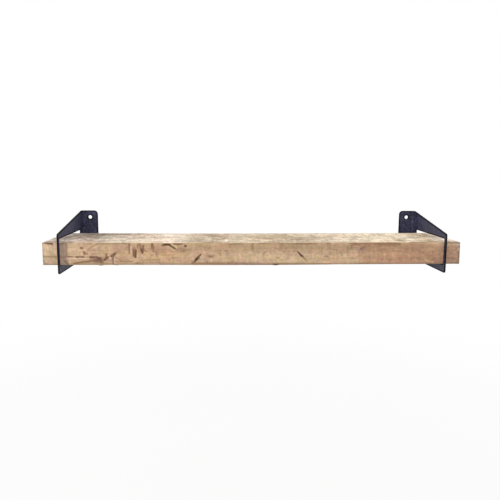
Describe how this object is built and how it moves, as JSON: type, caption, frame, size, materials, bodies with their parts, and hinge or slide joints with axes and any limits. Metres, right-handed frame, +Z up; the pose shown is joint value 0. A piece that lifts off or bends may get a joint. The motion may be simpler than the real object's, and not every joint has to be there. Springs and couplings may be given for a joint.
{
  "type": "wall shelf with brackets",
  "caption": "Thick rough timber board lying loose in the closed windows of two folded sheet-steel wall brackets with sloping tops.",
  "frame": {"origin": "on the wall plane, midway between the two upper wall screws, one in the flange of each bracket", "axes": "+X to the right along the board as a person facing the wall sees it, +Y into the wall, +Z up; the shelf stands out from the wall towards -Y"},
  "size_m": [0.9, 0.216, 0.1193],
  "materials": {
    "rough_sawn_timber": "rough-sawn, unfinished, pale and weathered on top",
    "powder_coated_steel": "matte dark grey powder coat with a fine texture"
  },
  "bodies": {
    "brackets": {"left_bracket": "powder_coated_steel", "right_bracket": "powder_coated_steel"},
    "board": {"shelf_board": "rough_sawn_timber"}
  },
  "joints": [
    {"name": "board_slide", "type": "slide", "parent": "brackets", "child": "board", "axis": [1, 0, 0], "range_m": [-0.034, 0.034]}
  ]
}
